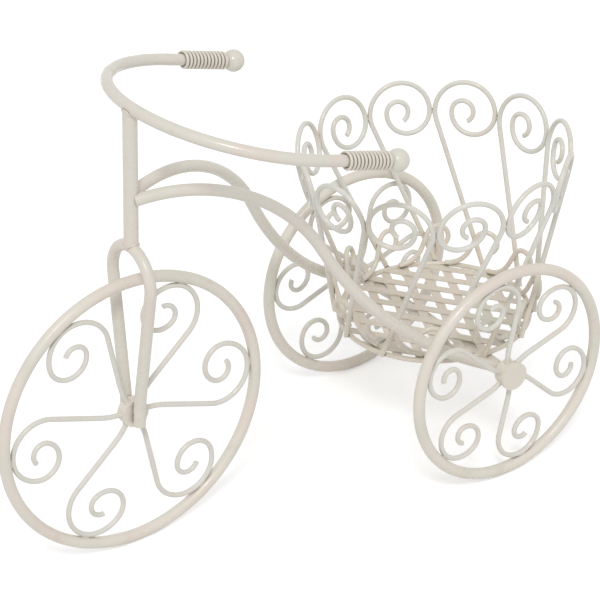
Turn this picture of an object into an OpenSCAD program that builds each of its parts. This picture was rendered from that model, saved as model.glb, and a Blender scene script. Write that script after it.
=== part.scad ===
// Tricycle plant stand: three scrolled wheels, a bent rod frame and a round basket of scrolls for one pot.
// Millimetres. +X runs from the front wheel to the basket, +Z is up, and left is the -Y side.
// The origin is on the floor, in the middle of the stand's length and width.

/* [Wheels] */
// Outer diameter of the front wheel
front_wheel_d = 250; // [230:1:270]
// Outer diameter of each rear wheel
rear_wheel_d = 200; // [180:1:210]
// Distance from the front axle to the rear axle
wheelbase = 304; // [285:1:330]
// Distance between the middles of the two rear wheels
track = 218; // [212:1:250]
// Diameter of the rod that a rim is bent from
rim_rod_d = 10; // [8:0.5:12]
// Turn of the front wheel at rest, to its first scroll
front_wheel_turn = 2.9; // [0:0.1:60]
// Turn of the left wheel at rest, to its first scroll
left_wheel_turn = 41.5; // [0:0.1:60]
// Turn of the right wheel at rest, seen from the right
right_wheel_turn = 7.5; // [0:0.1:60]

/* [Wheel scrolls] */
// Diameter of the wire of all scrolls
wire_d = 4.5; // [3:0.5:6]
// Bend radius of a wheel scroll's outer curl, as a share of its wheel's diameter
curl_share = 0.11; // [0.1:0.001:0.116]
// Bend radius of its middle curl, as a share of the wheel's diameter
curl_mid_share = 0.068; // [0.06:0.001:0.076]
// Bend radius of its inner curl, as a share of the wheel's diameter
curl_end_share = 0.039; // [0.034:0.001:0.045]
// Slant of a front scroll's stem from the radial line, in degrees
front_stem_slant = 23.4; // [22:0.1:25]
// Slant of a rear scroll's stem from the radial line, in degrees
rear_stem_slant = 26.3; // [25:0.1:27]

/* [Hubs and axles] */
// Outer diameter of the front hub
front_hub_d = 24; // [20:0.5:28]
// Length of the front hub along its axle
front_hub_len = 9.8; // [8:0.1:12]
// Diameter of the front axle
front_axle_d = 6; // [5:0.5:7]
// Outer diameter of a rear hub
rear_hub_d = 22; // [18:0.5:25]
// Length of a rear hub along its axle
rear_hub_len = 10; // [8:0.5:11]
// Diameter of the rear axle
rear_axle_d = 10; // [8:0.5:11]
// Diameter of the cap that holds a rear wheel on
cap_d = 25; // [23:0.5:28]
// Thickness of that cap
cap_t = 3.2; // [3:0.1:5]

/* [Steering column] */
// Backward lean of the fork and stem, in degrees
rake = 3.2; // [1:0.1:5]
// Diameter of the rod that the fork is bent from
fork_rod_d = 10; // [8:0.5:11]
// Outward lean of each fork leg, in degrees
fork_lean = 9; // [7:0.1:11]
// Bend radius of the fork's crown
fork_crown_r = 28; // [26:0.5:30]
// Bend radius at the foot of each fork leg
fork_foot_r = 30; // [20:1:40]
// Length of a leg's upright foot above the axle
fork_foot_up = 6; // [4:0.5:8]
// Length of a leg's upright foot below the axle
fork_foot_down = 8; // [6:0.5:10]
// Diameter of the stem
stem_d = 12; // [10:0.5:14]
// Distance from the front axle up the column to the handlebar
stem_reach = 270.5; // [255:0.5:290]

/* [Handlebar] */
// Diameter of the rod that the handlebar is bent from
bar_rod_d = 10; // [8:0.5:11]
// Fall of the handlebar towards the grips, in degrees
bar_fall = 17.3; // [5:0.1:25]
// Distance from the stem's axis back to the handlebar's rod
bar_back = 1; // [0:0.1:4]
// Bend radius of the handlebar's front
bar_front_r = 123; // [110:1:140]
// Angle of that front bend on each side, in degrees
bar_front_turn = 23; // [18:0.5:28]
// Bend radius of the handlebar's shoulders
bar_side_r = 108; // [95:1:115]
// Length of a grip's straight, from the shoulder to the ball's centre
grip_len = 68; // [60:0.5:80]
// Diameter of the ball on each end
ball_d = 19; // [16:0.5:24]
// Diameter of the wire wound round each grip
coil_wire_d = 2.7; // [2:0.1:3]
// Distance from one loop of that wire to the next
coil_pitch = 3.6; // [3.3:0.1:4]
// Loops of wire on each grip
coil_loops = 12; // [8:1:14]

/* [Frame tubes] */
// Diameter of the two frame tubes
tube_d = 10; // [8:0.5:10.5]
// Bend radius of a tube's upper bow
tube_bow_r = 140; // [130:1:150]
// Rise of a tube where it leaves the stem, in degrees
tube_rise = 11; // [6:0.5:15]
// Steepest fall of a tube, in degrees
tube_fall = 63.3; // [60:0.5:66]
// Bend radius of a tube's lower sweep
tube_sweep_r = 300; // [280:5:340]
// Distance that a tube runs past the rear axle's centre
tube_tail = 0.5; // [0:0.1:0.8]

/* [Basket] */
// Radius of the basket's base ring, to the middle of its wire
basket_r = 83; // [81:0.5:84]
// Distance from the rear axle back to the basket's middle
basket_back = 5; // [0:0.5:10]
// Outward lean of the basket's scrolls, in degrees
basket_flare = 11.2; // [8:0.1:14]
// Turn of the ring of scrolls, in degrees
basket_turn = 8.1; // [0:0.1:30]
// Height of a tall scroll's curl above the base ring, along its slope
petal_h = 142; // [130:1:155]
// Lean of a tall scroll's leg from upright, in degrees
petal_leg_lean = 20.8; // [20:0.1:23]
// Bend radius of a tall scroll's middle curl
petal_mid_r = 19.5; // [17:0.5:21]
// Bend radius of a tall scroll's inner curl
petal_end_r = 9.7; // [8:0.1:12]
// Bend radius of a low scroll's foot
low_foot_r = 24; // [20:0.5:26]
// Length of a low scroll's straight stem
low_stem = 14; // [11:0.5:17]
// Bend radius of a low scroll's curl
low_curl_r = 10; // [8:0.5:11]
// Width of the floor's flat strips
strip_w = 7.5; // [5:0.5:9]
// Thickness of those strips
strip_t = 1; // [0.8:0.1:1.2]
// Distance from one strip to the next
strip_pitch = 18; // [15:0.5:20]
// Angle between the strips and the floor's long diagonal, in degrees
strip_slant = 30; // [20:1:45]
// Angle between that diagonal and the stand's width, in degrees
floor_turn = 4.8; // [0:0.1:15]

/* [Fits] */
// Radial clearance between a hub's bore and its axle
run_clearance = 0.05; // [0.02:0.01:0.09]
// Clearance at each end of a hub
end_clearance = 0.4; // [0.3:0.05:0.6]
// Seam between two pieces that are welded together
weld_gap = 0.1; // [0.05:0.05:0.2]

/* [Hidden] */
rod_fn = 48;
ring_fn = 144;
$fn = rod_fn;
SPOKES = 6;
PETALS = 12;
LOW_GROUPS = 4;
front_rim_r = (front_wheel_d - rim_rod_d) / 2;
rear_rim_r = (rear_wheel_d - rim_rod_d) / 2;
front_axle_z = front_wheel_d / 2;
rear_axle_z = rear_wheel_d / 2;
wire_r = wire_d / 2;

// Joints of a bent rod: share by which every second step is thinner, and how far it runs in
lap_share = 0.012;
lap = 0.2;

// A wheel scroll leaves the hub nearly radially, bends to its stem's slant and curls inward from the rim
root_len_share = 0.02;
root_bend_share = 0.24;
root_turn = 16;
root_in = 2.9;
front_curl_side = 0.6;
rear_curl_side = 1.2;
front_curl_turns = [185, 166, 158];
rear_curl_turns = [195, 156, 153];

// Fork: upright feet beside the hub, leaning legs, and the crown that joins them
fork_foot_y = front_hub_len / 2 + end_clearance + fork_rod_d / 2;
fork_leg_len = (fork_crown_r * cos(fork_lean) - fork_foot_y - fork_foot_r * (1 - cos(fork_lean))) / sin(fork_lean);
fork_crown_z = fork_foot_up + (fork_foot_r + fork_crown_r) * sin(fork_lean) + fork_leg_len * cos(fork_lean);
stem_bottom_z = fork_crown_z + fork_crown_r;
leg_socket = 4;
stem_lip = 1.5;

// Handlebar: its middle sits behind the stem's axis, and its plane falls towards the grips
bar_x = stem_reach * sin(rake) + bar_back;
bar_z = front_axle_z + stem_reach * cos(rake) - bar_back * tan(bar_fall);
bar_half_w = bar_front_r * sin(bar_front_turn) + bar_side_r * (1 - sin(bar_front_turn));
bar_bend_x = bar_front_r * (1 - cos(bar_front_turn)) + bar_side_r * cos(bar_front_turn);
ball_x = bar_bend_x + grip_len;
bar_end_to_ball = 4;
coil_r = (bar_rod_d + coil_wire_d) / 2 + weld_gap;
coil_end_x = ball_x - sqrt(pow(ball_d / 2, 2) - pow(coil_r, 2)) - coil_wire_d;
coil_start_x = coil_end_x - coil_loops * coil_pitch;
RINGS_PER_LOOP = 24;
COIL_SIDES = 6;

// Frame tubes: each lies in an upright plane from the stem's back to the rear axle, inside its wheel
rear_wheel_y = track / 2;
hub_inner_y = rear_wheel_y - rear_hub_len / 2;
tube_root_x = 12;
tube_root_y = tube_d / 2 - 0.1;
tube_inset = 1;
tube_end_y = hub_inner_y - end_clearance - tube_d / 2 - tube_inset;
tube_plane = atan((tube_end_y - tube_root_y) / (wheelbase - tube_root_x));
tube_run = norm([wheelbase - tube_root_x, tube_end_y - tube_root_y]);
tube_bow_run = tube_bow_r * (sin(tube_rise) + sin(tube_fall));
tube_bow_drop = tube_bow_r * (cos(tube_rise) - cos(tube_fall));
tube_end_fall = asin(sin(tube_fall) - (tube_run - tube_bow_run) / tube_sweep_r);
tube_sweep_drop = tube_sweep_r * (cos(tube_end_fall) - cos(tube_fall));
tube_root_z = rear_axle_z + tube_bow_drop + tube_sweep_drop;

// Axle ends and caps
front_axle_half = fork_foot_y + leg_socket;
cap_inner_y = rear_wheel_y + rear_hub_len / 2 + end_clearance;
cap_socket = cap_t - 1.2;
rear_axle_half = cap_inner_y + cap_socket - weld_gap;

// Basket: the base ring lies on the rear axle, and a tall scroll stands on it at every 30 degrees
basket_x = wheelbase + basket_back;
base_z = rear_axle_z + rear_axle_d / 2 + wire_r + 3 * weld_gap;
petal_pitch = 360 / PETALS;

// A leg's foot stands on the ring's outer shoulder. The petal's plane is as far out as puts it there:
// the foot's place along that plane is petal_foot_gain * petal_plane_r + petal_foot_base.
petal_foot_out = 3.5;
petal_foot_r = basket_r + petal_foot_out;
petal_half_turn = petal_pitch / 2;
petal_spread = petal_h * sin(basket_flare);
petal_side_gap = (wire_r + 1.5 * weld_gap) / cos(petal_half_turn);
petal_foot_gain = tan(petal_half_turn) / cos(petal_leg_lean);
petal_foot_base = petal_foot_gain * petal_spread - petal_side_gap / cos(petal_leg_lean)
    - petal_h * tan(petal_leg_lean);
petal_foot_square = 1 + pow(petal_foot_gain, 2);
petal_foot_mix = petal_foot_gain * petal_foot_base;
petal_foot_rest = pow(petal_foot_base, 2) - pow(petal_foot_r, 2);
petal_plane_r = (sqrt(pow(petal_foot_mix, 2) - petal_foot_square * petal_foot_rest) - petal_foot_mix)
    / petal_foot_square;
petal_curl_r = (petal_plane_r + petal_spread) * tan(petal_half_turn) - petal_side_gap;
petal_leg_len = (petal_h - petal_curl_r * sin(petal_leg_lean)) / cos(petal_leg_lean);
petal_leg_u = petal_curl_r * cos(petal_leg_lean) - petal_leg_len * sin(petal_leg_lean);
petal_curl_turn = 180 + petal_leg_lean;
petal_mid_turn = 184;
petal_end_turn = 236;
low_foot_turn = 65;
low_curl_turn = 225;

// Floor: two layers of strips at the base ring's height, each shifted by a share of the pitch
floor_r = basket_r - wire_r - weld_gap;
floor_z = base_z - strip_t - weld_gap / 2;
floor_top_z = floor_z + 2 * strip_t + weld_gap;
floor_strips = ceil(floor_r / strip_pitch);
lower_strip_shift = -0.45;
upper_strip_shift = 0;

// Low scrolls: a wire's width inside the tall ones, with their tips just above the floor
low_plane_in = wire_d + weld_gap;
low_start_u = 10;
low_tip_gap = 0.4;
low_rise = floor_top_z + low_tip_gap + wire_r - base_z - low_plane_in * sin(basket_flare);
low_start_v = low_rise / cos(basket_flare);

// The stand's reach to the front and to the rear, which sets the origin
front_reach = -front_wheel_d / 2;
petal_reaches = [for (i = [1:PETALS]) petal_reach(i)];
origin_x = (front_reach + max(petal_reaches)) / 2;

CREAM = "#dcd6c8";

// Angle of a basket scroll round the basket's middle
function petal_angle(i) = basket_turn + petal_pitch * (i - 1);

// Furthest reach to the rear of a tall scroll's outer curl
function petal_reach(i) =
    let (a = petal_angle(i))
    let (r = petal_plane_r + petal_spread)
    let (across = [sin(a), sin(basket_flare) * cos(a)])
    basket_x + r * cos(a) + petal_curl_r * norm(across) + wire_r;

// Displacement along a bend of radius r that turns a heading h by t degrees, to the left where t is positive
function bend_step(r, h, t) =
    let (side = sign(t))
    side * r * [sin(h + t) - sin(h), cos(h) - cos(h + t)];

function line_step(len, h) = len * [cos(h), sin(h)];

// Bent rod in the XY plane. A step is [0, length] for a straight and [radius, turn] for a bend.
// Every second step is a hair thinner and runs a little way into its neighbours' ends.
module bent_rod(steps, d, at = [0, 0], heading = 0, k = 0) {
    if (k < len(steps)) {
        r = steps[k][0];
        amount = steps[k][1];
        inner = k % 2 == 1;
        step_d = inner ? d * (1 - lap_share) : d;
        lap_before = inner ? lap : 0;
        lap_after = inner && k < len(steps) - 1 ? lap : 0;
        if (r == 0) {
            translate([at.x, at.y, 0])
                rotate([0, 90, heading])
                    translate([0, 0, -lap_before])
                        cylinder(d = step_d, h = lap_before + amount + lap_after);
            bent_rod(steps, d, at + line_step(amount, heading), heading, k + 1);
        } else {
            side = sign(amount);
            centre = at + side * r * [-sin(heading), cos(heading)];
            turn_before = lap_before / r * 180 / PI;
            turn_after = lap_after / r * 180 / PI;
            from = side > 0 ? heading - 90 - turn_before : heading + 90 + amount - turn_after;
            translate([centre.x, centre.y, 0])
                rotate([0, 0, from])
                    rotate_extrude(angle = turn_before + abs(amount) + turn_after, $fn = ring_fn)
                        translate([r, 0])
                            circle(d = step_d, $fn = rod_fn);
            bent_rod(steps, d, at + bend_step(r, heading, amount), heading + amount, k + 1);
        }
    }
}

// Pin along Y through a point of the XZ plane
module cross_pin(r, half_len) {
    rotate([90, 0, 0])
        cylinder(r = r, h = 2 * half_len, center = true);
}

module ring(r, d) {
    rotate_extrude($fn = ring_fn)
        translate([r, 0])
            circle(d = d, $fn = rod_fn);
}

module from_origin() {
    translate([-origin_x, 0, 0])
        children();
}

module at_front_axle() {
    from_origin()
        translate([0, 0, front_axle_z])
            children();
}

// Places a left wheel as it is, and a right wheel as the same wheel turned round
module at_rear_wheel(left) {
    from_origin()
        translate([wheelbase, left ? -rear_wheel_y : rear_wheel_y, rear_axle_z])
            rotate([0, 0, left ? 0 : 180])
                children();
}

// Frame of the steering column: z runs up the leaning column from the front axle
module on_column() {
    at_front_axle()
        rotate([0, rake, 0])
            children();
}

// Wheel parts stand in the XZ plane, with their axle along Y
module rim(r) {
    rotate([90, 0, 0])
        ring(r, rim_rod_d);
}

module hub(d, len, axle_d) {
    difference() {
        cross_pin(d / 2, len / 2);
        cross_pin(axle_d / 2 + run_clearance, len);
    }
}

// Length of a stem that leaves its root's start at r0 from the axle
function stem_len(from, slant, r0) =
    let (u = line_step(1, slant))
    from * u - sqrt(pow(r0, 2) - pow(cross(from, u), 2));

// One scroll of a wheel: radial root, slanted stem and a curl whose back touches the rim
module wheel_scroll(turn, wheel_d, hub_d, slant, turns, side) {
    curl_r = curl_share * wheel_d;
    root_r = root_bend_share * wheel_d;
    root_len = root_len_share * wheel_d;
    root_slant = slant - root_turn;
    centre = [wheel_d / 2 - rim_rod_d - weld_gap - wire_r - curl_r, side];
    joint = centre + curl_r * [-sin(slant), cos(slant)];
    root = joint - bend_step(root_r, root_slant, root_turn) - line_step(root_len, root_slant);
    stem = stem_len(root, slant, hub_d / 2 - root_in);
    steps = [
        [0, root_len],
        [root_r, root_turn],
        [0, stem],
        [curl_r, -turns[0]],
        [curl_mid_share * wheel_d, -turns[1]],
        [curl_end_share * wheel_d, -turns[2]]
    ];
    difference() {
        rotate([90, 0, 0])
            rotate([0, 0, turn])
                mirror([0, 1, 0])
                    bent_rod(steps, wire_d, root - line_step(stem, slant), root_slant);
        cross_pin(hub_d / 2 + weld_gap, wire_d);
    }
}

module front_axle() {
    color(CREAM)
        at_front_axle()
            cross_pin(front_axle_d / 2, front_axle_half);
}

module front_hub() {
    color(CREAM)
        at_front_axle()
            hub(front_hub_d, front_hub_len, front_axle_d);
}

module front_rim() {
    color(CREAM)
        at_front_axle()
            rim(front_rim_r);
}

module front_spoke(i) {
    color(CREAM)
        at_front_axle()
            wheel_scroll(
                front_wheel_turn + (i - 1) * 360 / SPOKES, front_wheel_d, front_hub_d,
                front_stem_slant, front_curl_turns, front_curl_side
            );
}

module rear_axle() {
    color(CREAM)
        from_origin()
            translate([wheelbase, 0, rear_axle_z])
                cross_pin(rear_axle_d / 2, rear_axle_half);
}

module rear_hub(left) {
    color(CREAM)
        at_rear_wheel(left)
            hub(rear_hub_d, rear_hub_len, rear_axle_d);
}

module rear_rim(left) {
    color(CREAM)
        at_rear_wheel(left)
            rim(rear_rim_r);
}

module rear_spoke(left, i) {
    turn = left ? left_wheel_turn : right_wheel_turn;
    color(CREAM)
        at_rear_wheel(left)
            wheel_scroll(
                turn + (i - 1) * 360 / SPOKES, rear_wheel_d, rear_hub_d,
                rear_stem_slant, rear_curl_turns, rear_curl_side
            );
}

// Disc with a blind socket that the axle's end is fixed in
module hub_cap(left) {
    color(CREAM)
        at_rear_wheel(left)
            translate([0, rear_wheel_y - cap_inner_y, 0])
                rotate([90, 0, 0])
                    difference() {
                        cylinder(d = cap_d, h = cap_t);
                        translate([0, 0, -cap_socket])
                            cylinder(r = rear_axle_d / 2 + run_clearance, h = 2 * cap_socket);
                    }
}

// Hairpin in the plane across the column, with both feet drilled for the axle
module fork() {
    steps = [
        [0, fork_foot_down + fork_foot_up],
        [fork_foot_r, fork_lean],
        [0, fork_leg_len],
        [fork_crown_r, -180 - 2 * fork_lean],
        [0, fork_leg_len],
        [fork_foot_r, fork_lean],
        [0, fork_foot_down + fork_foot_up]
    ];
    color(CREAM)
        on_column()
            difference() {
                rotate([90, 0, 90])
                    bent_rod(steps, fork_rod_d, [-fork_foot_y, -fork_foot_down], 90);
                cross_pin(front_axle_d / 2 + run_clearance, front_axle_half + weld_gap);
            }
}

// Stem from the crown to the handlebar, coped to both rods
module stem() {
    bar_middle = [[bar_front_r, -2 * bar_front_turn]];
    color(CREAM)
        difference() {
            on_column()
                difference() {
                    translate([0, 0, stem_bottom_z])
                        cylinder(d = stem_d, h = stem_reach - stem_lip - stem_bottom_z);
                    translate([0, 0, fork_crown_z])
                        rotate([0, 90, 0])
                            ring(fork_crown_r, fork_rod_d + 2 * weld_gap);
                }
            on_handlebar()
                bent_rod(
                    bar_middle, bar_rod_d + 2 * weld_gap,
                    [bar_front_r * (1 - cos(bar_front_turn)), -bar_front_r * sin(bar_front_turn)],
                    90 + bar_front_turn
                );
        }
}

// Frame of the handlebar: x runs down its slope to the grips, y to the right
module on_handlebar() {
    from_origin()
        translate([bar_x, 0, bar_z])
            rotate([0, bar_fall, 0])
                children();
}

module handlebar() {
    grip = grip_len - bar_end_to_ball;
    steps = [
        [0, grip],
        [bar_side_r, bar_front_turn - 90],
        [bar_front_r, -2 * bar_front_turn],
        [bar_side_r, bar_front_turn - 90],
        [0, grip]
    ];
    color(CREAM)
        on_handlebar()
            bent_rod(steps, bar_rod_d, [ball_x - bar_end_to_ball, -bar_half_w], 180);
}

// Ball with a blind socket that the rod's end is fixed in
module end_ball(left) {
    color(CREAM)
        on_handlebar()
            translate([ball_x, left ? -bar_half_w : bar_half_w, 0])
                difference() {
                    sphere(d = ball_d, $fn = ring_fn);
                    translate([weld_gap - bar_end_to_ball, 0, 0])
                        rotate([0, -90, 0])
                            cylinder(r = bar_rod_d / 2 + run_clearance, h = ball_d);
                }
}

// Middle line of the winding, and the straight run of one wire diameter at each of its ends
function coil_point(a) = [coil_start_x + coil_pitch * a / 360, coil_r * cos(a), coil_r * sin(a)];
function coil_slope() = coil_pitch / (2 * PI * coil_r);
function coil_tangent(a) =
    let (t = [coil_slope(), -sin(a), cos(a)])
    t / norm(t);
function coil_ring(centre, a) =
    let (out = [0, cos(a), sin(a)])
    let (side = cross(coil_tangent(a), out))
    [for (k = [0:COIL_SIDES - 1])
        centre + coil_wire_d / 2 * (cos(k * 360 / COIL_SIDES) * out + sin(k * 360 / COIL_SIDES) * side)];

coil_turn = 360 * coil_loops;
coil_angles = [for (k = [0:RINGS_PER_LOOP * coil_loops]) k * 360 / RINGS_PER_LOOP];
coil_first = coil_point(0) - coil_wire_d * coil_tangent(0);
coil_last = coil_point(coil_turn) + coil_wire_d * coil_tangent(coil_turn);
coil_rings = concat(
    [coil_ring(coil_first, 0)],
    [for (a = coil_angles) coil_ring(coil_point(a), a)],
    [coil_ring(coil_last, coil_turn)]
);
coil_centres = concat([coil_first], [for (a = coil_angles) coil_point(a)], [coil_last]);

// Least distance between the surfaces of two loops, measured from point to point along the middle line
coil_gap = min([
    for (i = [0:len(coil_centres) - 1])
        for (j = [i + RINGS_PER_LOOP / 2:min(len(coil_centres) - 1, i + 2 * RINGS_PER_LOOP)])
            norm(coil_centres[i] - coil_centres[j]) - coil_wire_d
]);
echo(least_gap_of_grip_coil = coil_gap);

module grip_coil(left) {
    n = COIL_SIDES;
    last = len(coil_rings) - 1;
    points = [for (ring = coil_rings) each ring];
    sides = [
        for (i = [0:last - 1])
            for (k = [0:n - 1])
                let (a = i * n + k, b = i * n + (k + 1) % n)
                each [[a, b, a + n], [b, b + n, a + n]]
    ];
    start_cap = [for (k = [1:n - 2]) [0, k + 1, k]];
    end_cap = [for (k = [1:n - 2]) [last * n, last * n + k, last * n + k + 1]];
    color(CREAM)
        on_handlebar()
            translate([0, left ? -bar_half_w : bar_half_w, 0])
                polyhedron(points, concat(sides, start_cap, end_cap));
}

// Tube in its own upright plane: upper bow, lower sweep and a short tail past the axle
module frame_tube(left) {
    side = left ? -1 : 1;
    steps = [
        [tube_bow_r, -tube_rise - tube_fall],
        [tube_sweep_r, tube_fall - tube_end_fall],
        [0, tube_tail]
    ];
    color(CREAM)
        difference() {
            from_origin()
                translate([tube_root_x, side * tube_root_y, 0])
                    rotate([0, 0, side * tube_plane])
                        rotate([90, 0, 0])
                            bent_rod(steps, tube_d, [0, tube_root_z], tube_rise);
            on_column()
                cylinder(r = stem_d / 2 + weld_gap, h = stem_reach);
            from_origin()
                translate([wheelbase, 0, rear_axle_z])
                    cross_pin(rear_axle_d / 2 + weld_gap, rear_axle_half);
        }
}

module at_basket() {
    from_origin()
        translate([basket_x, 0, base_z])
            children();
}

// Plane of a basket scroll: x runs along the base ring, y up the slope, z outward
module on_petal(i, inward = 0) {
    at_basket()
        rotate([0, 0, petal_angle(i)])
            translate([petal_plane_r, 0, 0])
                rotate([0, basket_flare, 0])
                    translate([-inward, 0, 0])
                        rotate([90, 0, 90])
                            children();
}

module base_ring() {
    color(CREAM)
        at_basket()
            ring(basket_r, wire_d);
}

// One layer of parallel strips, trimmed round inside the base ring
module floor_layer(slant, shift) {
    intersection() {
        cylinder(r = floor_r, h = strip_t, $fn = ring_fn);
        rotate([0, 0, 90 + floor_turn + slant])
            for (k = [-floor_strips:floor_strips]) {
                y = (k + shift) * strip_pitch;
                if (abs(y) < floor_r - strip_w)
                    translate([-basket_r, y - strip_w / 2, 0])
                        cube([2 * basket_r, strip_w, strip_t]);
            }
    }
}

module floor_lower_strips() {
    color(CREAM)
        at_basket()
            translate([0, 0, floor_z - base_z])
                floor_layer(-strip_slant, lower_strip_shift);
}

module floor_upper_strips() {
    color(CREAM)
        at_basket()
            translate([0, 0, floor_z - base_z + strip_t + weld_gap])
                floor_layer(strip_slant, upper_strip_shift);
}

// Tall scroll: a leaning leg on the base ring and a curl that reaches to both neighbours
module petal(i) {
    steps = [
        [0, petal_leg_len],
        [petal_curl_r, petal_curl_turn],
        [petal_mid_r, petal_mid_turn],
        [petal_end_r, petal_end_turn]
    ];
    color(CREAM)
        difference() {
            on_petal(i)
                bent_rod(steps, wire_d, [petal_leg_u, 0], 90 - petal_leg_lean);
            at_basket()
                ring(basket_r, wire_d + 2 * weld_gap);
        }
}

// Low scroll: lies on the inside of its tall scroll's leg
module low_scroll(i) {
    steps = [
        [low_foot_r, -low_foot_turn],
        [0, low_stem],
        [low_curl_r, low_curl_turn]
    ];
    on_petal(i, low_plane_in)
        bent_rod(steps, wire_d, [low_start_u, low_start_v], 180);
}

// Three neighbouring low scrolls
module low_scrolls(group) {
    per_group = PETALS / LOW_GROUPS;
    color(CREAM)
        for (i = [1:per_group])
            low_scroll((group - 1) * per_group + i);
}

fork();
stem();
handlebar();
grip_coil(true);  // left_grip_coil
grip_coil(false);  // right_grip_coil
end_ball(true);  // left_end_ball
end_ball(false);  // right_end_ball
frame_tube(true);  // left_frame_tube
frame_tube(false);  // right_frame_tube
front_axle();
front_hub();
front_rim();
for (i = [1:SPOKES]) {
    front_spoke(i);
    rear_spoke(true, i);
    rear_spoke(false, i);
}
rear_axle();
rear_hub(true);  // left_hub
rear_hub(false);  // right_hub
rear_rim(true);  // left_rim
rear_rim(false);  // right_rim
hub_cap(true);  // left_hub_cap
hub_cap(false);  // right_hub_cap
base_ring();
floor_lower_strips();
floor_upper_strips();
for (i = [1:PETALS]) {
    petal(i);
}
for (i = [1:LOW_GROUPS]) {
    low_scrolls(i);
}
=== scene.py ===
# %% [markdown]
# # A tricycle plant stand in cream paint
#
# The stand is a small tricycle bent from steel rod: three wheels filled with wire scrolls, a fork and
# stem, a curved handlebar, two bowed tubes, and a round basket of scrolls over the rear axle that holds
# one plant pot. Everything wears the same satin cream paint, except that the front axle is drawn
# near-black, as painted shade in the narrow gaps beside its hub.
#
# The construction is finished before this lesson begins. It arrives as a imported frame of named pieces,
# each in its real place and in metres, with the front wheel at negative X and the left side at negative
# Y. This lesson adds what a maker adds last: the wire wound round the grips, the welds under the paint,
# and the paint itself.

# %% Load the imported frame
import math

import bpy
import numpy as np
from mathutils import Matrix, Vector
from mathutils.bvhtree import BVHTree


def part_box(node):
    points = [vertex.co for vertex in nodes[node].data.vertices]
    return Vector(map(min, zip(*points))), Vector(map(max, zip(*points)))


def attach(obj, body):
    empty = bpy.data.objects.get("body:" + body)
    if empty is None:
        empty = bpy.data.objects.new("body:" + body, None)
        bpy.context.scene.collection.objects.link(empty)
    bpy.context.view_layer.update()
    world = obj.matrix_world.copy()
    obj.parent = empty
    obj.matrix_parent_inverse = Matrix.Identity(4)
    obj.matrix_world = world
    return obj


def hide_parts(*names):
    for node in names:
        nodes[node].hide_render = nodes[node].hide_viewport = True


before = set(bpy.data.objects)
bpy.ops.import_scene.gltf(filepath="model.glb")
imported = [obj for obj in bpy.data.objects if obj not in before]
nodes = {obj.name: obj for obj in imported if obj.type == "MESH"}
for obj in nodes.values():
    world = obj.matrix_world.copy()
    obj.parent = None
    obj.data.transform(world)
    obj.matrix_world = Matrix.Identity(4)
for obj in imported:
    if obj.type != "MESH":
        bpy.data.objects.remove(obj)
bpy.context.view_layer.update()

MM = 0.001


def in_mm(point, places=1):
    """A point in millimetres, rounded to be printed."""
    return [round(v / MM, places) for v in point]


# %% [markdown]
# ## Where things are
#
# A few of the stand's own sizes are repeated here, because the camera, the grips and the welds are
# placed by them. They are the values of the construction. The handlebar has its own slanted frame: its
# X axis runs down the slope to the grips, and its middle sits just behind the top of the leaning stem.
# Seen along that slope the bar is one bend at the front and a tighter one at each shoulder, and then
# the straight grips. The last two prints show the handlebar's middle and the ball found from these sizes.

# %% The stand's own sizes
AXLE_FRONT = sum(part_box("front_axle"), Vector()) / 2
RAKE = math.radians(3.2)
STEM_REACH = 270.5 * MM
STEM_R = 6 * MM
TUBE_R = 5 * MM
BAR_R = 5 * MM
BAR_BACK = 1 * MM
BAR_FALL = math.radians(17.3)
BAR_FRONT_R = 123 * MM
BAR_FRONT_TURN = math.radians(23)
BAR_SIDE_R = 108 * MM
GRIP_LENGTH = 68 * MM
BALL_R = 9.5 * MM

BAR_HALF_W = BAR_FRONT_R * math.sin(BAR_FRONT_TURN) + BAR_SIDE_R * (1 - math.sin(BAR_FRONT_TURN))
BAR_BEND_X = BAR_FRONT_R * (1 - math.cos(BAR_FRONT_TURN)) + BAR_SIDE_R * math.cos(BAR_FRONT_TURN)
BALL_X = BAR_BEND_X + GRIP_LENGTH

bar_middle = AXLE_FRONT + Vector((
    STEM_REACH * math.sin(RAKE) + BAR_BACK,
    0,
    STEM_REACH * math.cos(RAKE) - BAR_BACK * math.tan(BAR_FALL)))
on_bar = Matrix.Translation(bar_middle) @ Matrix.Rotation(BAR_FALL, 4, "Y")
print("handlebar's middle in mm:", in_mm(bar_middle))
print("left ball by these sizes:", in_mm(on_bar @ Vector((BALL_X, -BAR_HALF_W, 0))))

# %% [markdown]
# ## The camera
#
# The photograph looks down on the stand from the front left. Its viewing angle was worked out from the
# three wheel rims, which are true circles that the lens turns into ellipses. The camera could be set by
# hand until the picture looks right, but an angle, a distance and a focal length that come from the
# circles put every piece where the photograph has it. The camera leans a little, so it also gets a
# small roll about its own line of sight.

# %% Place the camera
VIEW_AZIMUTH = math.radians(-34.44)
VIEW_ELEVATION = math.radians(30.51)
VIEW_ROLL = math.radians(-1.66)
VIEW_DISTANCE = 2.24854
TARGET_BEHIND_AXLE = 0.16768
TARGET_HEIGHT = 0.16941
FOCAL_PIXELS = 2694.72
PICTURE_PIXELS = 600
SENSOR_MM = 36

view_target = Vector((AXLE_FRONT.x + TARGET_BEHIND_AXLE, 0, TARGET_HEIGHT))
back = Vector((
    math.sin(VIEW_AZIMUTH) * math.cos(VIEW_ELEVATION),
    -math.cos(VIEW_AZIMUTH) * math.cos(VIEW_ELEVATION),
    math.sin(VIEW_ELEVATION)))
level_right = Vector((math.cos(VIEW_AZIMUTH), math.sin(VIEW_AZIMUTH), 0))
level_up = back.cross(level_right)
right = math.cos(VIEW_ROLL) * level_right + math.sin(VIEW_ROLL) * level_up
up = math.cos(VIEW_ROLL) * level_up - math.sin(VIEW_ROLL) * level_right

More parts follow.
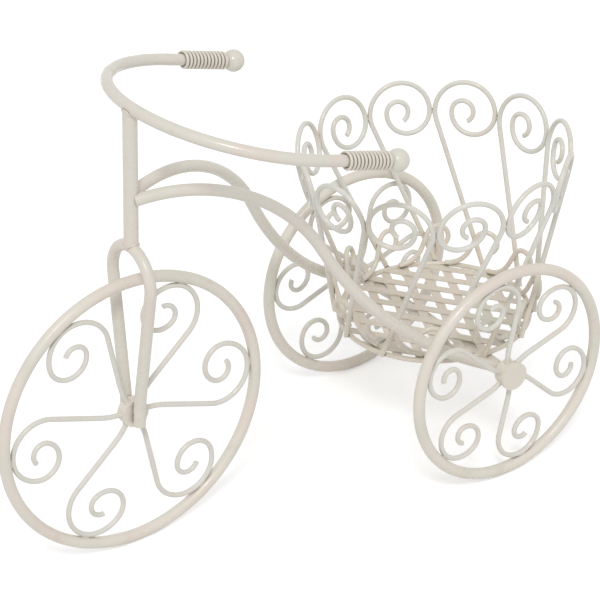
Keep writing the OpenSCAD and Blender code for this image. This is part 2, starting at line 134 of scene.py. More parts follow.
camera_data = bpy.data.cameras.new("photo_camera")
camera_data.sensor_width = SENSOR_MM
camera_data.lens = FOCAL_PIXELS / PICTURE_PIXELS * SENSOR_MM
camera_data.clip_start = 0.1
camera_data.clip_end = 50
camera = bpy.data.objects.new("photo_camera", camera_data)
bpy.context.scene.collection.objects.link(camera)
turned = Matrix((right, up, back)).transposed().to_4x4()
camera.matrix_world = Matrix.Translation(view_target + VIEW_DISTANCE * back) @ turned
bpy.context.scene.camera = camera
print("focal length in mm:", round(camera_data.lens, 1))

# %% [markdown]
# ## The studio
#
# The photograph shows the stand on plain white with hardly a shadow. A lamp bright enough to burn the
# floor white would also burn out the cream paint, so the floor and the surroundings are pure white only
# where the camera or a reflection sees them. The light that they give stays at a plain level, at which
# paint looks about as light as it is mixed. Most of the light comes evenly from all round, and one soft
# lamp, high behind the camera, gives the rods their lit upper side and the highlight along their tops.

# %% Floor, surroundings and lamp
WHITE = (1, 1, 1, 1)
FLOOR_HALF = 12
FLOOR_DROP = 0.2 * MM
PAPER_LIT = (0.8, 0.8, 0.8, 1)
PAPER_SEEN = (0.9, 0.9, 0.9, 1)
PAPER_LIFT = 0.34
ROUND_LEVEL = 0.66
WINDOW_LEVEL = 0.34
WINDOW_TOWARDS = (0.55, 0.75, -1.1)
WINDOW_SOFTNESS = math.radians(14)


def seen_directly(tree):
    """One where a ray comes straight from the camera, or by a reflection or through glass."""
    path = tree.nodes.new("ShaderNodeLightPath")
    seen = path.outputs["Is Camera Ray"]
    for kind in ("Is Glossy Ray", "Is Transmission Ray"):
        either = tree.nodes.new("ShaderNodeMath")
        either.operation = "MAXIMUM"
        tree.links.new(seen, either.inputs[0])
        tree.links.new(path.outputs[kind], either.inputs[1])
        seen = either.outputs[0]
    return seen


def split_by_ray(tree, lighting, shown, output_type):
    """Shows one shader to the camera, and gives off light by another."""
    choose = tree.nodes.new("ShaderNodeMixShader")
    tree.links.new(seen_directly(tree), choose.inputs[0])
    tree.links.new(lighting, choose.inputs[1])
    tree.links.new(shown, choose.inputs[2])
    out = tree.nodes.new(output_type)
    tree.links.new(choose.outputs[0], out.inputs["Surface"])


def white_floor():
    h = FLOOR_HALF
    floor_mesh = bpy.data.meshes.new("studio_floor")
    floor_mesh.from_pydata([(-h, -h, 0), (h, -h, 0), (h, h, 0), (-h, h, 0)], [], [(0, 1, 2, 3)])
    floor = bpy.data.objects.new("studio_floor", floor_mesh)
    floor.location.z = -FLOOR_DROP
    bpy.context.scene.collection.objects.link(floor)
    paper = bpy.data.materials.new("white_paper")
    paper.use_nodes = True
    tree = paper.node_tree
    tree.nodes.clear()
    plain = tree.nodes.new("ShaderNodeBsdfDiffuse")
    plain.inputs["Color"].default_value = PAPER_LIT
    seen = tree.nodes.new("ShaderNodeBsdfDiffuse")
    seen.inputs["Color"].default_value = PAPER_SEEN
    glow = tree.nodes.new("ShaderNodeEmission")
    glow.inputs["Strength"].default_value = PAPER_LIFT
    lifted = tree.nodes.new("ShaderNodeAddShader")
    tree.links.new(seen.outputs[0], lifted.inputs[0])
    tree.links.new(glow.outputs[0], lifted.inputs[1])
    split_by_ray(tree, plain.outputs[0], lifted.outputs[0], "ShaderNodeOutputMaterial")
    floor_mesh.materials.append(paper)


def white_surroundings(level):
    world = bpy.data.worlds.new("white_surroundings")
    world.use_nodes = True
    tree = world.node_tree
    tree.nodes.clear()
    ways = []
    for strength in (level, 1):  # the first lights the stand, the second is shown
        way = tree.nodes.new("ShaderNodeBackground")
        way.inputs["Color"].default_value = WHITE
        way.inputs["Strength"].default_value = strength
        ways.append(way.outputs[0])
    split_by_ray(tree, *ways, "ShaderNodeOutputWorld")
    bpy.context.scene.world = world


def soft_lamp(name, towards, level, softness):
    """A broad distant lamp. Its level is how bright it makes a white card that faces it."""
    lamp = bpy.data.lights.new(name, "SUN")
    lamp.energy = math.pi * level
    lamp.angle = softness
    holder = bpy.data.objects.new(name, lamp)
    bpy.context.scene.collection.objects.link(holder)
    holder.rotation_mode = "QUATERNION"
    holder.rotation_quaternion = Vector(towards).to_track_quat("-Z", "Y")


bpy.context.scene.view_settings.view_transform = "Standard"
white_floor()
white_surroundings(ROUND_LEVEL)
soft_lamp("window", WINDOW_TOWARDS, WINDOW_LEVEL, WINDOW_SOFTNESS)
window_slant = -WINDOW_TOWARDS[2] / math.hypot(*WINDOW_TOWARDS)
print("light on a level white card:", round(ROUND_LEVEL + WINDOW_LEVEL * window_slant, 2))

# %% [markdown]
# ## Cream paint
#
# The real paint is a satin cream, sprayed or dipped over bent steel. From close by it is never one flat
# colour: it drifts between a slightly pinker and a slightly greener cream over two or three
# centimetres, it is a little darker where it has run thin, and its skin has a fine orange peel. A
# painted picture could carry all this, but a rod has no natural flat layout to paint on. Noise that is
# measured in the stand's own space needs no layout, has its true size on every piece, and flows from
# one rod to the next as one coat of paint does.
#
# Each finish below is the same recipe in its own proportions, built by small helpers: first a patchy
# colour, then a roughness that varies from place to place, then the bumps of the skin. A kind of noise
# is given by its size across in millimetres, its detail and a number that keeps it apart from the other
# kinds. A kind of patch adds the two values of the noise between which it goes from nothing to full.

# %% Helpers that mix a paint
PATCH_MM = 500
SEED_STEP = (0.37, 0.71, 0.53)


def noise(tree, coords, kind, seed):
    """Noise of one kind. The seed moves it, so that two paints differ."""
    size_mm, detail, number = kind
    shift = tree.nodes.new("ShaderNodeVectorMath")
    shift.operation = "ADD"
    shift.inputs[1].default_value = [step * (seed + number) for step in SEED_STEP]
    tree.links.new(coords, shift.inputs[0])
    made = tree.nodes.new("ShaderNodeTexNoise")
    made.inputs["Scale"].default_value = PATCH_MM / size_mm
    made.inputs["Detail"].default_value = detail
    tree.links.new(shift.outputs[0], made.inputs["Vector"])
    return made.outputs["Fac"]


def between(tree, value, low, high, out_low=0.0, out_high=1.0):
    """Stretches the part of a value from low to high, with soft ends."""
    stretch = tree.nodes.new("ShaderNodeMapRange")
    stretch.interpolation_type = "SMOOTHSTEP"
    stretch.inputs["From Min"].default_value = low
    stretch.inputs["From Max"].default_value = high
    stretch.inputs["To Min"].default_value = out_low
    stretch.inputs["To Max"].default_value = out_high
    tree.links.new(value, stretch.inputs["Value"])
    return stretch.outputs["Result"]


def patches(tree, coords, kind, seed, out_low, out_high):
    """One kind of patch, from out_low where there is none to out_high where it is full."""
    *grain, none_at, full_at = kind
    return between(tree, noise(tree, coords, grain, seed), none_at, full_at, out_low, out_high)


def tint(tree, under, colour, amount):
    """Lays a colour over another where amount is high. Under is a socket or a colour."""
    mix = tree.nodes.new("ShaderNodeMix")
    mix.data_type = "RGBA"
    tree.links.new(amount, mix.inputs["Factor"])
    if hasattr(under, "links"):
        tree.links.new(under, mix.inputs["A"])
    else:
        mix.inputs["A"].default_value = (*under, 1)
    mix.inputs["B"].default_value = (*colour, 1)
    return mix.outputs["Result"]


def bumps(tree, height, depth_m, under=None):
    """Turns a height into a slanted surface, on top of other bumps if there are any."""
    bump = tree.nodes.new("ShaderNodeBump")
    bump.inputs["Distance"].default_value = depth_m
    tree.links.new(height, bump.inputs["Height"])
    if under is not None:
        tree.links.new(under, bump.inputs["Normal"])
    return bump.outputs["Normal"]


CREAM = (0.742, 0.704, 0.630)
ROSY_CREAM = (0.770, 0.720, 0.642)
GREY_CREAM = (0.728, 0.712, 0.655)
COOL_CREAM = (0.734, 0.724, 0.668)
WARM_CREAM = (0.745, 0.685, 0.585)
STRIP_CREAM = (0.735, 0.670, 0.572)
CAP_CREAM = (0.785, 0.742, 0.660)
GRIP_CREAM = (0.742, 0.700, 0.620)
WELD_CREAM = (0.715, 0.662, 0.577)
SOOTY_CREAM = (0.690, 0.628, 0.535)
PINK_CREAM = (0.770, 0.668, 0.595)
GREEN_CREAM = (0.690, 0.690, 0.585)
THIN_CREAM = (0.620, 0.568, 0.482)
# Brown of the painted shade in narrow places, laid on by ambient occlusion in the recipe below.
PAINTED_SHADE_BROWN = (0.270, 0.215, 0.155)
SOOT = (0.085, 0.070, 0.055)
print("cream:", CREAM)

# %% [markdown]
# The helper that follows puts them together. `drift` is how far the cream wanders in hue, `thin` how
# much of it looks thin and dark, `gloss` its middle roughness, `peel` the depth of the fine skin and
# `dent` the depth of the slow unevenness of the steel beneath. `low` is a second colour that takes over
# at the height of the basket's floor, so the paint is warmer and a little darker low down.
# `painted_shade` is how much brown painted shade darkens the narrow places. Ambient occlusion finds
# them: it asks, at each point, how much of the nearest few millimetres is closed off by other metal.
# `soot` is how dark the burnt spots of a weld are that the paint did not cover.
#
# The table then gives each finish its own proportions. In the photograph the rims are a shade rosier
# than the frame, the scrolls are greyer, and the basket's low wires and strips are warmer and take more
# painted shade in their narrow places. The strips, caps and welds have the dullest skin and the balls
# the smoothest.

# %% One recipe for every painted finish
PINK_PATCHES = (28, 2, 1, 0.44, 0.66)
GREEN_PATCHES = (20, 2, 2, 0.48, 0.70)
THIN_PATCHES = (6, 4, 3, 0.56, 0.76)
THIN_FLECKS = (1.6, 3, 4, 0.64, 0.74)
SHEEN_PATCHES = (10, 3, 5, 0.3, 0.7)
SLOW_DENTS = (5, 2, 6)
FINE_PEEL = (1.1, 3, 7)
BURNT_SPOTS = (3.5, 3, 8, 0.46, 0.56)
LOW_STARTS = 200 * MM
LOW_WHOLE = 120 * MM
NOOK_REACH = 4 * MM
NOOK_OPEN = 0.72
NOOK_CLOSED = 0.25
GLOSSIER = 0.07
DULLER = 0.12


def cream_paint(name, base=CREAM, low=None, drift=0.5, thin=0.3, gloss=0.26, peel=0.06 * MM,
                dent=0.14 * MM, painted_shade=0.45, soot=0.0, seed=0.0):
    """A satin cream paint over bent steel, in the proportions that are asked for."""
    paint = bpy.data.materials.new(name)
    paint.use_nodes = True
    tree = paint.node_tree
    skin = tree.nodes["Principled BSDF"]
    coords = tree.nodes.new("ShaderNodeTexCoord").outputs["Object"]
    colour = base
    if low is not None:
        split = tree.nodes.new("ShaderNodeSeparateXYZ")
        tree.links.new(coords, split.inputs[0])
        colour = tint(tree, colour, low, between(tree, split.outputs["Z"], LOW_STARTS, LOW_WHOLE))
    for kind, patch_colour, most in (
            (PINK_PATCHES, PINK_CREAM, drift), (GREEN_PATCHES, GREEN_CREAM, drift),
            (THIN_PATCHES, THIN_CREAM, thin), (THIN_FLECKS, THIN_CREAM, thin)):
        colour = tint(tree, colour, patch_colour, patches(tree, coords, kind, seed, 0, most))
    # Painted shade: a brown tint darkens the places that other metal closes in within a few millimetres.
    nook = tree.nodes.new("ShaderNodeAmbientOcclusion")
    nook.samples = 8
    nook.inputs["Distance"].default_value = NOOK_REACH
    nook_shade = between(tree, nook.outputs["AO"], NOOK_OPEN, NOOK_CLOSED, 0, painted_shade)
    colour = tint(tree, colour, PAINTED_SHADE_BROWN, nook_shade)
    if soot:
        colour = tint(tree, colour, SOOT, patches(tree, coords, BURNT_SPOTS, seed, 0, soot))
    tree.links.new(colour, skin.inputs["Base Color"])
    sheen = patches(tree, coords, SHEEN_PATCHES, seed, gloss - GLOSSIER, gloss + DULLER)
    tree.links.new(sheen, skin.inputs["Roughness"])
    slow = bumps(tree, noise(tree, coords, SLOW_DENTS, seed), dent)
    fine = bumps(tree, noise(tree, coords, FINE_PEEL, seed), peel, slow)
    tree.links.new(fine, skin.inputs["Normal"])
    return paint


FINISHES = {
    "rod_paint": dict(seed=0.0),
    "rim_paint": dict(base=ROSY_CREAM, drift=0.7, thin=0.3, seed=3.0),
    "spoke_paint": dict(base=GREY_CREAM, drift=0.35, thin=0.35, dent=0.06 * MM, seed=5.0),
    "petal_paint": dict(base=COOL_CREAM, low=WARM_CREAM, drift=0.4, thin=0.35, dent=0.06 * MM, seed=7.0),
    "basket_paint": dict(base=WARM_CREAM, drift=0.55, thin=0.45, dent=0.06 * MM, painted_shade=0.6, seed=8.0),
    "strip_paint": dict(base=STRIP_CREAM, drift=0.5, thin=0.5, gloss=0.40, painted_shade=0.6, seed=9.0),
    "ball_paint": dict(drift=0.4, thin=0.2, gloss=0.24, dent=0.05 * MM, seed=11.0),
    "cap_paint": dict(base=CAP_CREAM, drift=0.4, thin=0.25, gloss=0.40, seed=13.0),
    "grip_paint": dict(base=GRIP_CREAM, drift=0.4, thin=0.3, gloss=0.32, seed=15.0),
    "weld_paint": dict(base=WELD_CREAM, drift=0.6, thin=0.5, gloss=0.36, seed=17.0),
    "sooty_paint": dict(base=SOOTY_CREAM, drift=0.6, thin=0.6, gloss=0.44, painted_shade=0.8, soot=0.9, seed=19.0),
}
paints = {name: cream_paint(name, **mix) for name, mix in FINISHES.items()}
print("paints:", len(paints))

# %% [markdown]
# The front axle shows only as a line in the two narrow gaps beside the hub, so it is drawn as painted
# shade there: a near-black brown with darker patches, a little metallic, instead of cream paint.

# %% Dark front axle as painted shade
AXLE_SHADE_DARK = (0.120, 0.105, 0.090)
AXLE_SHADE_DARKER = (0.055, 0.042, 0.030)
AXLE_DARKER_PATCHES = (3, 4, 21, 0.35, 0.7)
STEEL_GRAIN = (0.8, 3, 22)
STEEL_SHARE = 0.6
STEEL_ROUGH = 0.38
PATCH_ROUGH = 0.62
STEEL_DENT = 0.03 * MM


def dark_axle_as_shade():
    steel = bpy.data.materials.new("axle_painted_shade")
    steel.use_nodes = True
    tree = steel.node_tree
    skin = tree.nodes["Principled BSDF"]
    skin.inputs["Metallic"].default_value = STEEL_SHARE
    coords = tree.nodes.new("ShaderNodeTexCoord").outputs["Object"]
    darker_patches = patches(tree, coords, AXLE_DARKER_PATCHES, 0, 0, 1)
    # Painted shade: the axle's near-black colour makes the gaps beside the front hub read dark.
    tree.links.new(tint(tree, AXLE_SHADE_DARK, AXLE_SHADE_DARKER, darker_patches), skin.inputs["Base Color"])
    tree.links.new(between(tree, darker_patches, 0, 1, STEEL_ROUGH, PATCH_ROUGH), skin.inputs["Roughness"])
    tree.links.new(bumps(tree, noise(tree, coords, STEEL_GRAIN, 0), STEEL_DENT), skin.inputs["Normal"])
    return steel


axle_gap_shade = dark_axle_as_shade()
print("steel:", axle_gap_shade.name)

# %% [markdown]
# ## Dressing the construction
#
# Every rod, wire and strip of the construction already has its right shape, so each keeps it and only
# trades its plain grey for the paint that suits it. The names of the nodes say what they are, so a part
# of the name picks the paint, and whatever the table does not name is a plain rod of the frame.

# %% Give each node its paint
PAINT_BY_NAME = {
    "_spoke_": "spoke_paint",
    "petal_": "petal_paint",
    "low_scrolls_": "basket_paint",
    "base_ring": "basket_paint",
    "_strips": "strip_paint",
    "_rim": "rim_paint",
    "_ball": "ball_paint",
    "_hub": "cap_paint",
}


def paint_of(name):
    if name == "front_axle":
        return axle_gap_shade
    for part, paint_name in PAINT_BY_NAME.items():
        if part in name:
            return paints[paint_name]
    return paints["rod_paint"]


painted = {}
for name, piece in nodes.items():
    paint = paint_of(name)
    if not piece.material_slots:
        piece.data.materials.append(paint)
    for place in piece.material_slots:
        place.material = paint
    painted.setdefault(paint.name, []).append(name)
print({paint_name: len(names) for paint_name, names in painted.items()})

# %% [markdown]
# The two hub caps show the hardest corners on the stand. On the real one the paint rounds such a
# corner, and a rounded corner is what catches a thin line of light. A bevel that works only on sharp
# edges rounds them by half a millimetre and leaves the round wall alone. It needs faces that share
# their corner points, so the modifier before it merges the points that lie in the same place.

# %% Round the corners of the hub caps
SAME_PLACE = 0.01 * MM
EASE_R = 0.5 * MM
SHARP = math.radians(50)


def ease_corners(piece):
    merge = piece.modifiers.new("join_corners", "WELD")
    merge.merge_threshold = SAME_PLACE
    ease = piece.modifiers.new("ease_corners", "BEVEL")
    ease.width = EASE_R
    ease.segments = 3
    ease.limit_method = "ANGLE"
    ease.angle_limit = SHARP


for name in ("left_hub_cap", "right_hub_cap"):
    ease_corners(nodes[name])
    print(name, "has", [modifier.name for modifier in nodes[name].modifiers])

# %% [markdown]
# ## The wire round the grips
#
# Each grip is one length of thin wire wound a dozen times round the end of the handlebar, close up to
# the ball. The construction holds it as a six-sided winding, which is enough to build and weigh but
# shows flats in a close view. Here the same winding is drawn as a curve along its middle line and given
# a round section. A curve is the natural tool for wire: the path says where it goes and one number says
# how thick it is. The first and last loop tuck down onto the rod, as a wound wire's cut ends do.

# %% Wind the wire
WIRE_R = 1.35 * MM
LOOPS = 12
PITCH = 3.6 * MM
SEAM = 0.1 * MM
WIND_R = BAR_R + WIRE_R + SEAM
WIND_END = BALL_X - math.sqrt(BALL_R ** 2 - WIND_R ** 2) - 2 * WIRE_R
WIND_START = WIND_END - LOOPS * PITCH
POINTS_PER_LOOP = 40
TAIL_LOOPS = 0.07
TUCK = 0.35 * MM
TUCK_LOOPS = 0.12
SIDES = {"left": -1, "right": 1}


def winding_path(side):
    """Points along the middle of one grip's wire, from its front end to its rear end."""
    first, last = -TAIL_LOOPS, LOOPS + TAIL_LOOPS
    count = int((last - first) * POINTS_PER_LOOP)
    points = []
    for k in range(count + 1):
        loop = first + (last - first) * k / count
        angle = 2 * math.pi * loop
        from_end = min(loop - first, last - loop)
        r = WIND_R - TUCK * max(0.0, 1 - from_end / TUCK_LOOPS)
        points.append(on_bar @ Vector((
            WIND_START + PITCH * loop, side * BAR_HALF_W + r * math.cos(angle), r * math.sin(angle))))
    return points


def wire_along(name, points, radius_m):
    """A curve through the points, with a round section and closed ends."""
    line = bpy.data.curves.new(name, "CURVE")
    line.dimensions = "3D"
    line.bevel_depth = radius_m
    line.bevel_resolution = 4
    line.use_fill_caps = True
    spline = line.splines.new("POLY")
    spline.points.add(len(points) - 1)
    for place, point in zip(spline.points, points):
        place.co = (*point, 1)
    wire = bpy.data.objects.new(name, line)
    bpy.context.scene.collection.objects.link(wire)
    return wire


def as_mesh(piece):
    """Turns a curve into a plain mesh, smooth but for its two flat end faces."""
    graph = bpy.context.evaluated_depsgraph_get()
    mesh = bpy.data.meshes.new_from_object(piece.evaluated_get(graph))
    made = bpy.data.objects.new(piece.name + "_wound", mesh)
    bpy.context.scene.collection.objects.link(made)
    bpy.data.objects.remove(piece)
    for face in mesh.polygons:
        face.use_smooth = len(face.vertices) <= 4
    return made


grips = {}
for side_name, side in SIDES.items():
    grips[side_name] = as_mesh(wire_along(side_name + "_grip_wire", winding_path(side), WIRE_R))
    print(side_name, "winding:", len(grips[side_name].data.polygons), "faces")

# %% [markdown]
# ### Painted shade between the loops
#
# In the photograph the gaps between the loops are clearly darker than their crowns, because they are
# narrow. Light alone gives part of it. The rest is painted shade, a brown tint that depends on how far
# a point lies from the middle of the rod: none at the crown of the wire, full at its foot. The distance
# is stored on the mesh as a number for each point, and the paint reads it.

# %% Paint the grips
GRIP_SHADE_BROWN = (0.270, 0.225, 0.175)
GRIP_SHADE_MOST = 0.75
UNSHADED_TO_DEPTH = 0.28
SHADED_FROM_DEPTH = 0.75


def store_depth(piece, side):
    """Stores, at each point, 0 on the wire's outer crown and 1 against the rod."""
    to_bar = on_bar.inverted()
    depth = piece.data.attributes.new("grip_depth", "FLOAT", "POINT")
    values = []
    for v in piece.data.vertices:
        p = to_bar @ v.co
        r = math.hypot(p.y - side * BAR_HALF_W, p.z)
        values.append(min(1.0, max(0.0, (WIND_R + WIRE_R - r) / (2 * WIRE_R))))
    depth.data.foreach_set("value", values)
    return min(values), max(values)


def add_shade_by_depth(paint):
    """Lays a brown painted shade over a paint's colour where the stored depth is high."""
    tree = paint.node_tree
    skin = tree.nodes["Principled BSDF"]
    unshaded = skin.inputs["Base Color"].links[0].from_socket
    depth = tree.nodes.new("ShaderNodeAttribute")
    depth.attribute_name = "grip_depth"
    # Painted shade: a brown tint darkens the wire towards its foot, between the loops.
    painted_shade = between(tree, depth.outputs["Fac"], UNSHADED_TO_DEPTH, SHADED_FROM_DEPTH, 0, GRIP_SHADE_MOST)
    tree.links.new(tint(tree, unshaded, GRIP_SHADE_BROWN, painted_shade), skin.inputs["Base Color"])


add_shade_by_depth(paints["grip_paint"])
for side_name, side in SIDES.items():
    grip = grips[side_name]
    grip.data.materials.clear()
    grip.data.materials.append(paints["grip_paint"])
    print(side_name, "depth from", *[round(v, 2) for v in store_depth(grip, side)])
    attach(grip, "frame")
    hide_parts(side_name + "_grip_coil")

# %% [markdown]
# ## Welds
#
# Nothing on the real stand is glued: wherever two rods meet there is a small weld, rounded over by
# paint. Without them the rods look as if they only pass each other. They could be placed one by one,
# but the construction already knows where its pieces meet. Two tools find the places. Where a rod ends
# on another, rays sent along the rod's wall hit the other rod along the seam, and a thin bead is laid
# through the hits. Where two rods only touch side by side, the points of one that lie closest to the
# other show the middle and the direction of the contact, and a small almond of weld sits there.

# %% Tools that find a seam
SEAM_POINTS = 48
RAY_INSIDE = 0.8


def surface_of(name):
    """The surface of a node as a searchable tree."""
    mesh = nodes[name].data
    return BVHTree.FromPolygons(
        [v.co.copy() for v in mesh.vertices], [tuple(face.vertices) for face in mesh.polygons])


def across(direction):
    """Two directions at right angles to one and to each other."""
    d = Vector(direction).normalized()
    u = d.cross(Vector((0, 0, 1)) if abs(d.z) < 0.9 else Vector((1, 0, 0))).normalized()
    return u, d.cross(u)


def seam_loop(target, start, direction, radius_m):
    """Points round a rod's end, on the surface that its wall runs into."""
    d = Vector(direction).normalized()
    u, v = across(d)
    loop = []
    for k in range(SEAM_POINTS):
        angle = 2 * math.pi * k / SEAM_POINTS
        out = radius_m * (math.cos(angle) * u + math.sin(angle) * v)
        hit = target.ray_cast(Vector(start) + RAY_INSIDE * out, d)[0]
        if hit is not None:
            loop.append(hit + (1 - RAY_INSIDE) * out)
    return loop


print("faces on the stem:", len(nodes["stem"].data.polygons))

# %% [markdown]
# A weld bead has a soft rhythm of ripples from the puddle that froze step by step. The bead is a tube
# round the seam whose thickness rises and falls a little with each ripple, softened here because paint
# fills the hollows. A lump is a ball stretched along three directions, with a slight wobble so that no
# two look cast from one mould.

# %% Shapes of weld
RIPPLE = 1.6 * MM
RIPPLE_DEPTH = 0.10
DRIFT_DEPTH = 0.06
DRIFT_TURNS = 3.7
BEAD_SIDES = 10
LUMP_RINGS = 12
LUMP_SIDES = 28
LUMP_WOBBLE = 0.03
LUMP_SWELL = 0.02


def bead_mesh(loop, radius_m):
    """A closed rippled tube through a loop of points, as points and faces."""
    n = len(loop)
    length = sum((loop[(k + 1) % n] - loop[k]).length for k in range(n))
    ripples = max(4, round(length / RIPPLE))
    middle = sum(loop, Vector()) / n
    points, faces = [], []
    for k, p in enumerate(loop):
        along = (loop[(k + 1) % n] - loop[k - 1]).normalized()
        out = (p - middle) - (p - middle).dot(along) * along
        out = out.normalized() if out.length > 1e-9 else across(along)[0]
        side = along.cross(out)
        turn = 2 * math.pi * k / n
        swell = RIPPLE_DEPTH * math.sin(ripples * turn) + DRIFT_DEPTH * math.sin(DRIFT_TURNS * turn + 1)
        r = radius_m * (1 + swell)
        for j in range(BEAD_SIDES):
            a = 2 * math.pi * j / BEAD_SIDES
            points.append(p + r * (math.cos(a) * out + math.sin(a) * side))
    for k in range(n):
        here, there = k * BEAD_SIDES, (k + 1) % n * BEAD_SIDES
        for j in range(BEAD_SIDES):
            beside = (j + 1) % BEAD_SIDES
            faces.append((here + j, here + beside, there + beside, there + j))
    return points, faces


def almond_mesh(centre, axes, sizes, seed=0):
    """A smooth lump with half-sizes along three axes, a little uneven, as points and faces."""
    points, faces = [], []
    for i in range(LUMP_RINGS + 1):
        t = math.pi * i / LUMP_RINGS
        for j in range(LUMP_SIDES):
            a = 2 * math.pi * j / LUMP_SIDES
            wobble = 1 + LUMP_WOBBLE * math.sin(3 * a + 1.7 * seed) * math.sin(t)
            wobble += LUMP_SWELL * math.sin(5 * t + seed)
            local = (math.cos(t), math.sin(t) * math.cos(a), math.sin(t) * math.sin(a))
            offset = sum((axes[m] * (local[m] * sizes[m] * wobble) for m in range(3)), Vector())
            points.append(centre + offset)
    for i in range(LUMP_RINGS):
        for j in range(LUMP_SIDES):
            a, b = i * LUMP_SIDES + j, i * LUMP_SIDES + (j + 1) % LUMP_SIDES
            faces.append((a, b, b + LUMP_SIDES, a + LUMP_SIDES))
    return points, faces


def join_shapes(name, shapes, paint, body):
    """One object from several sets of points and faces, riding on a body."""
    points, faces = [], []
    for some_points, some_faces in shapes:
        start = len(points)
        points.extend(tuple(p) for p in some_points)
        faces.extend(tuple(start + i for i in f) for f in some_faces)
    mesh = bpy.data.meshes.new(name)
    mesh.from_pydata(points, [], faces)
    mesh.polygons.foreach_set("use_smooth", [True] * len(mesh.polygons))
    mesh.materials.append(paint)
    mesh.update()
    made = bpy.data.objects.new(name, mesh)
    bpy.context.scene.collection.objects.link(made)
    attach(made, body)
    print(name, "holds", len(shapes), "welds,", len(faces), "faces")


# %% [markdown]
# ### Welds of the frame
#
# The stem's top is hollowed to take the handlebar and its foot sits on the fork's crown, and each seam
# gets a bead. The rays start a little inside the stem's wall, so that they also hit a handlebar that is
# thinner than the stem, and the points they find are pushed back out to the wall. The bowed tubes end
# beside the stem's back, where a thin dome of weld closes each cut end. The ends of the front axle are
# closed by a flat button of weld.

# %% Beads and domes on the stem and fork
STEM_MIDDLE = 200 * MM
BEAD_R = 1.0 * MM
TUBE_RISE = math.radians(11)
TUBE_SPREAD = math.radians(17.6)
END_SLICE = 0.3 * MM
DOME_APART = 0.98
DOME_WIDTH = 0.99
DOME_RISE = 0.9 * MM
BUTTON_R = 3.9 * MM
BUTTON_RISE = 0.7 * MM

stem_up = Vector((math.sin(RAKE), 0, math.cos(RAKE)))
stem_start = AXLE_FRONT + STEM_MIDDLE * stem_up
frame_welds = []
for target, way in (("handlebar", stem_up), ("fork", -stem_up)):
    loop = seam_loop(surface_of(target), stem_start, way, STEM_R)
    frame_welds.append(bead_mesh(loop, BEAD_R))
    print(target, "seam points:", len(loop))

for side_name, side in SIDES.items():
    tube = nodes[side_name + "_frame_tube"]
    along = Vector((
        math.cos(TUBE_RISE) * math.cos(TUBE_SPREAD),
        side * math.cos(TUBE_RISE) * math.sin(TUBE_SPREAD),
        math.sin(TUBE_RISE)))
    reach = min(v.co.dot(along) for v in tube.data.vertices)
    heights = [v.co.z for v in tube.data.vertices if v.co.dot(along) < reach + END_SLICE]
    root_y = side * DOME_APART * TUBE_R
    root_z = (min(heights) + max(heights)) / 2
    root = Vector(((reach - root_y * along.y - root_z * along.z) / along.x, root_y, root_z))
    dome = (DOME_RISE, DOME_WIDTH * TUBE_R, DOME_WIDTH * TUBE_R)
    frame_welds.append(almond_mesh(root, (along, *across(along)), dome))
    print(tube.name, "ends at", in_mm(root))

straight = [Vector((1, 0, 0)), Vector((0, 1, 0)), Vector((0, 0, 1))]
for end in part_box("front_axle"):
    button = Vector((AXLE_FRONT.x, end.y, AXLE_FRONT.z))
    frame_welds.append(almond_mesh(button, straight, (BUTTON_R, BUTTON_RISE, BUTTON_R), end.y))
join_shapes("frame_welds", frame_welds, paints["weld_paint"], "frame")

# %% [markdown]
# ### Welds of the wheels
#
# A scroll's root ends on its hub and its curl lies against the rim. The helper measures each contact:
# it takes the points of one piece that lie within a third of a millimetre or so of the other, splits
# them into groups that are apart, and reads the middle and the main directions of each group. The lump
# of weld it makes is a little larger than the contact. It rides on the wheel, so it turns with the
# scroll that it holds.

# %% Find contacts and fill them
POINT_SPACING = 0.5 * MM
GROUPS_APART = 3 * MM
FEWEST_POINTS = 3
HUB_REACH = 0.4 * MM
RIM_REACH = 0.35 * MM
HUB_LUMP = {"grow": (0.9, 0.9, 0.7), "least": (3.1, 3.1, 1.3)}
RIM_LUMP = {"grow": (0.8, 0.9, 0.8), "least": (3.0, 1.6, 1.0)}
SCROLLS_PER_WHEEL = 6


def points_on(name, lo, hi):
    """Points along a node's edges inside a box, since the straight walls have no corners of their own."""
    mesh = nodes[name].data
    points = []
    for edge in mesh.edges:
        a, b = (mesh.vertices[i].co for i in edge.vertices)
        steps = max(1, int((b - a).length / POINT_SPACING))
        for k in range(steps):
            p = a.lerp(b, k / steps)
            if all(lo[i] <= p[i] <= hi[i] for i in range(3)):
                points.append(p)
    return points


def contacts(piece, other, reach_m):
    """Groups of points of a node that lie within reach of another node, each as an array."""
    target = surface_of(other)
    margin = Vector((reach_m, reach_m, reach_m))
    lo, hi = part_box(other)
    near = points_on(piece, lo - margin, hi + margin)
    close = [p for p in near if target.find_nearest(p, reach_m)[0] is not None]
    groups = []
    for p in close:
        joined = [g for g in groups if any((p - q).length < GROUPS_APART for q in g)]
        merged = [p] + [q for g in joined for q in g]
        groups = [g for g in groups if g not in joined] + [merged]
    return [np.array([tuple(p) for p in g]) for g in groups if len(g) >= FEWEST_POINTS]


def weld_at(group, lump, seed):
    """An almond over one group of contact points. The lump's sizes are in millimetres."""
    middle = group.mean(0)
    spread = group - middle
    _, _, axes = np.linalg.svd(spread, full_matrices=True)
    half = [0.5 * np.ptp(spread @ axes[m]) for m in range(3)]
    sizes = [max(half[m] + lump["grow"][m] * MM, lump["least"][m] * MM) for m in range(3)]
    return almond_mesh(Vector(middle), [Vector(a) for a in axes], sizes, seed)


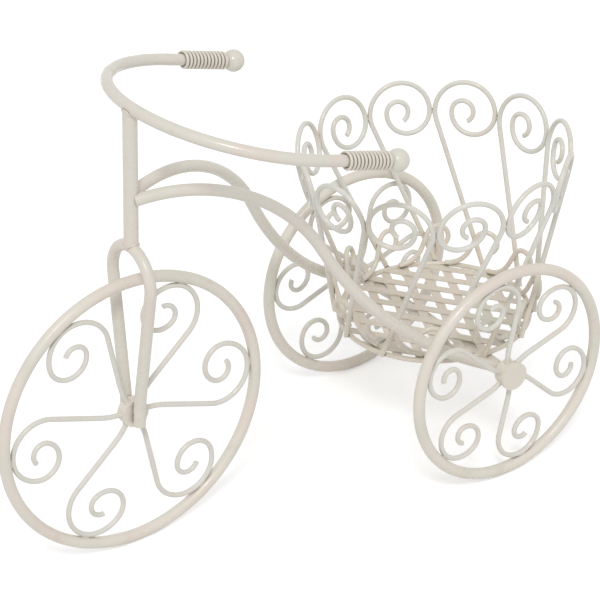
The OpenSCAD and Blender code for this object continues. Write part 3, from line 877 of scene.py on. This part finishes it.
def welds_between(piece, other, reach_m, lump, seed):
    """A lump of weld for each place where one node touches another."""
    return [weld_at(group, lump, seed) for group in contacts(piece, other, reach_m)]


for wheel in ("front", "left", "right"):
    lumps = []
    for i in range(1, SCROLLS_PER_WHEEL + 1):
        spoke = "%s_spoke_%d" % (wheel, i)
        lumps += welds_between(spoke, wheel + "_hub", HUB_REACH, HUB_LUMP, i)
        lumps += welds_between(spoke, wheel + "_rim", RIM_REACH, RIM_LUMP, i)
    join_shapes(wheel + "_wheel_welds", lumps, paints["weld_paint"], wheel + "_wheel")

# %% [markdown]
# ### Welds of the basket and axle
#
# Each tall scroll touches its neighbour, stands on the base ring and leans on a low scroll, and the
# ring and the two bowed tubes are held by the rear axle. These welds are the smallest and the roughest:
# they were made one after another in a tight basket, and in the photograph a few of them stay dark
# where soot shows through the paint. So the same helper fills them, with smaller lumps, and they get
# the sooty paint.

# %% Fill the basket's contacts
TALL_SCROLLS = 12
LOW_PER_NODE = 3
NEIGHBOUR_REACH = 0.45 * MM
FLOOR_REACH = 0.35 * MM
AXLE_REACH = 0.4 * MM
AXLE_SEED = 3
SMALL_LUMP = {"grow": (0.6, 0.7, 0.7), "least": (1.8, 1.2, 0.9)}

basket_lumps = []
for i in range(1, TALL_SCROLLS + 1):
    petal = "petal_%d" % i
    neighbour = "petal_%d" % (i % TALL_SCROLLS + 1)
    low = "low_scrolls_%d" % ((i - 1) // LOW_PER_NODE + 1)
    counts = []
    for other, reach_m in ((neighbour, NEIGHBOUR_REACH), ("base_ring", FLOOR_REACH), (low, FLOOR_REACH)):
        found = welds_between(petal, other, reach_m, SMALL_LUMP, i)
        basket_lumps += found
        counts.append(len(found))
    print(petal, "has welds to its neighbour, the ring and a low scroll:", counts)
for piece in ("left_frame_tube", "right_frame_tube", "base_ring"):
    found = welds_between(piece, "rear_axle", AXLE_REACH, SMALL_LUMP, AXLE_SEED)
    basket_lumps += found
    print(piece, "has welds to the rear axle:", len(found))
join_shapes("basket_welds", basket_lumps, paints["sooty_paint"], "frame")
